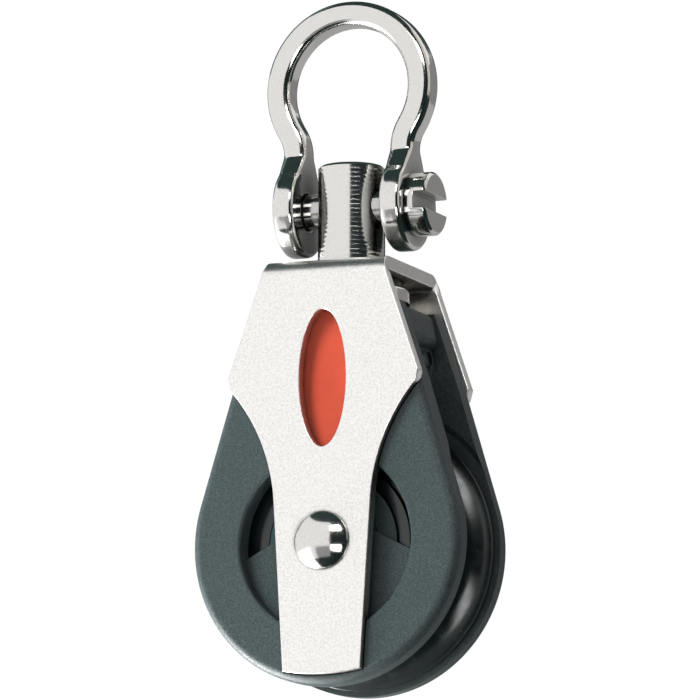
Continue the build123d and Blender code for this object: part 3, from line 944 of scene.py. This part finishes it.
def reflector(name, span, rise, distance, strength, tone, target):
    """Curved studio card seen only in reflections. Its span and rise are angles in degrees."""
    work = bmesh.new()
    columns = max(1, round((span[1] - span[0]) / CARD_STEP))
    rows = max(1, round((rise[1] - rise[0]) / CARD_STEP))
    grid = []
    for row in range(rows + 1):
        elevation = rise[0] + (rise[1] - rise[0]) * row / rows
        azimuths = [span[0] + (span[1] - span[0]) * k / columns for k in range(columns + 1)]
        grid.append([work.verts.new(direction(azimuth, elevation) * distance) for azimuth in azimuths])
    for low, high in zip(grid, grid[1:]):
        for k in range(columns):
            work.faces.new((low[k], low[k + 1], high[k + 1], high[k]))
    card = mesh_object(name, work)
    card.location = target
    card.data.materials.append(glow(name, tone, strength))
    only_seen_by(card, "glossy")


class SHEAVEBLOCK_OT_stage(PieceOperator, bpy.types.Operator):
    """Sets up the camera, the soft lights, the pale floor, the white surround and the studio cards"""

    bl_idname = "sheave_block.stage"
    bl_label = "Stage"

    def make(self):
        stage = bpy.context.scene.block_stage
        target = Vector((0, 0, stage.target_height))
        scene = bpy.context.scene
        camera = link(bpy.data.objects.new("camera", bpy.data.cameras.new("camera")))
        camera.data.lens = stage.lens
        camera.data.sensor_width = SENSOR_WIDTH
        camera.data.shift_x, camera.data.shift_y = CAMERA_SHIFT
        camera.data.clip_start = CLIP_START
        camera.data.clip_end = CLIP_END
        back = direction(math.degrees(stage.azimuth), math.degrees(stage.elevation))
        camera.location = target + back * stage.distance
        aim(camera, target)
        camera.rotation_quaternion = camera.rotation_quaternion @ Quaternion((0, 0, 1), stage.roll)
        scene.camera = camera
        world = bpy.data.worlds.new("surround")
        scene.world = world
        world.use_nodes = True
        world.node_tree.nodes["Background"].inputs["Color"].default_value = (1.0, 1.0, 1.0, 1.0)
        world.node_tree.nodes["Background"].inputs["Strength"].default_value = stage.sky
        scene.view_settings.view_transform = "Standard"
        key = soft_light("key_light", *KEY_LIGHT, stage.key_power, target)
        key.visible_glossy = False
        soft_light("rim_light", *RIM_LIGHT, stage.rim_power, target)
        for name, card in CARDS.items():
            reflector(name, *card, target)
        work = bmesh.new()
        bmesh.ops.create_uvsphere(work, u_segments=48, v_segments=24, radius=SURROUND_RADIUS)
        surround = mesh_object("white_surround", work)
        surround.location = target
        surround.data.materials.append(glow("white_surround", WHITE, SURROUND_BRIGHTNESS))
        only_seen_by(surround, "camera")
        work = bmesh.new()
        bmesh.ops.create_grid(work, x_segments=1, y_segments=1, size=FLOOR_HALF_SIZE)
        floor = mesh_object("floor", work)
        floor.location = (0, 0, -stage.floor_drop)
        paint = Finish("floor_paint", (0.8, 0.8, 0.8), 0.0, 0.7)
        paint.bump(paint.noise(0.2, 3.0), 0.1, 0.1 * MM)
        floor.data.materials.append(paint.material)
        floor.visible_glossy = False


OPERATORS = (
    SHEAVEBLOCK_OT_stage,
    SHEAVEBLOCK_OT_strap,
    SHEAVEBLOCK_OT_cheeks,
    SHEAVEBLOCK_OT_inserts,
    SHEAVEBLOCK_OT_sheave,
    SHEAVEBLOCK_OT_rivet,
    SHEAVEBLOCK_OT_bearing,
    SHEAVEBLOCK_OT_swivel,
    SHEAVEBLOCK_OT_bow,
    SHEAVEBLOCK_OT_pin,
)


class SHEAVEBLOCK_PT_panel(bpy.types.Panel):
    """Lists the pieces and their settings"""

    bl_idname = "SHEAVEBLOCK_PT_panel"
    bl_label = "Sheave Block"
    bl_space_type = "VIEW_3D"
    bl_region_type = "UI"
    bl_category = "Sheave Block"

    def draw(self, context):
        for group in (context.scene.block_sizes, context.scene.block_colours, context.scene.block_stage):
            column = self.layout.column(align=True)
            for name in group.__annotations__:
                column.prop(group, name)
        for operator in OPERATORS:
            self.layout.operator(operator.bl_idname)


CLASSES = (BlockSizes, BlockColours, StageSettings, *OPERATORS, SHEAVEBLOCK_PT_panel)


def register():
    for cls in CLASSES:
        bpy.utils.register_class(cls)
    bpy.types.Scene.block_sizes = PointerProperty(type=BlockSizes)
    bpy.types.Scene.block_colours = PointerProperty(type=BlockColours)
    bpy.types.Scene.block_stage = PointerProperty(type=StageSettings)


def unregister():
    del bpy.types.Scene.block_stage
    del bpy.types.Scene.block_colours
    del bpy.types.Scene.block_sizes
    for cls in reversed(CLASSES):
        bpy.utils.unregister_class(cls)


def main():
    """Makes every piece and the stage."""
    register()
    for operator in OPERATORS:
        group, name = operator.bl_idname.split(".")
        getattr(getattr(bpy.ops, group), name)()


if __name__ == "__main__":
    main()
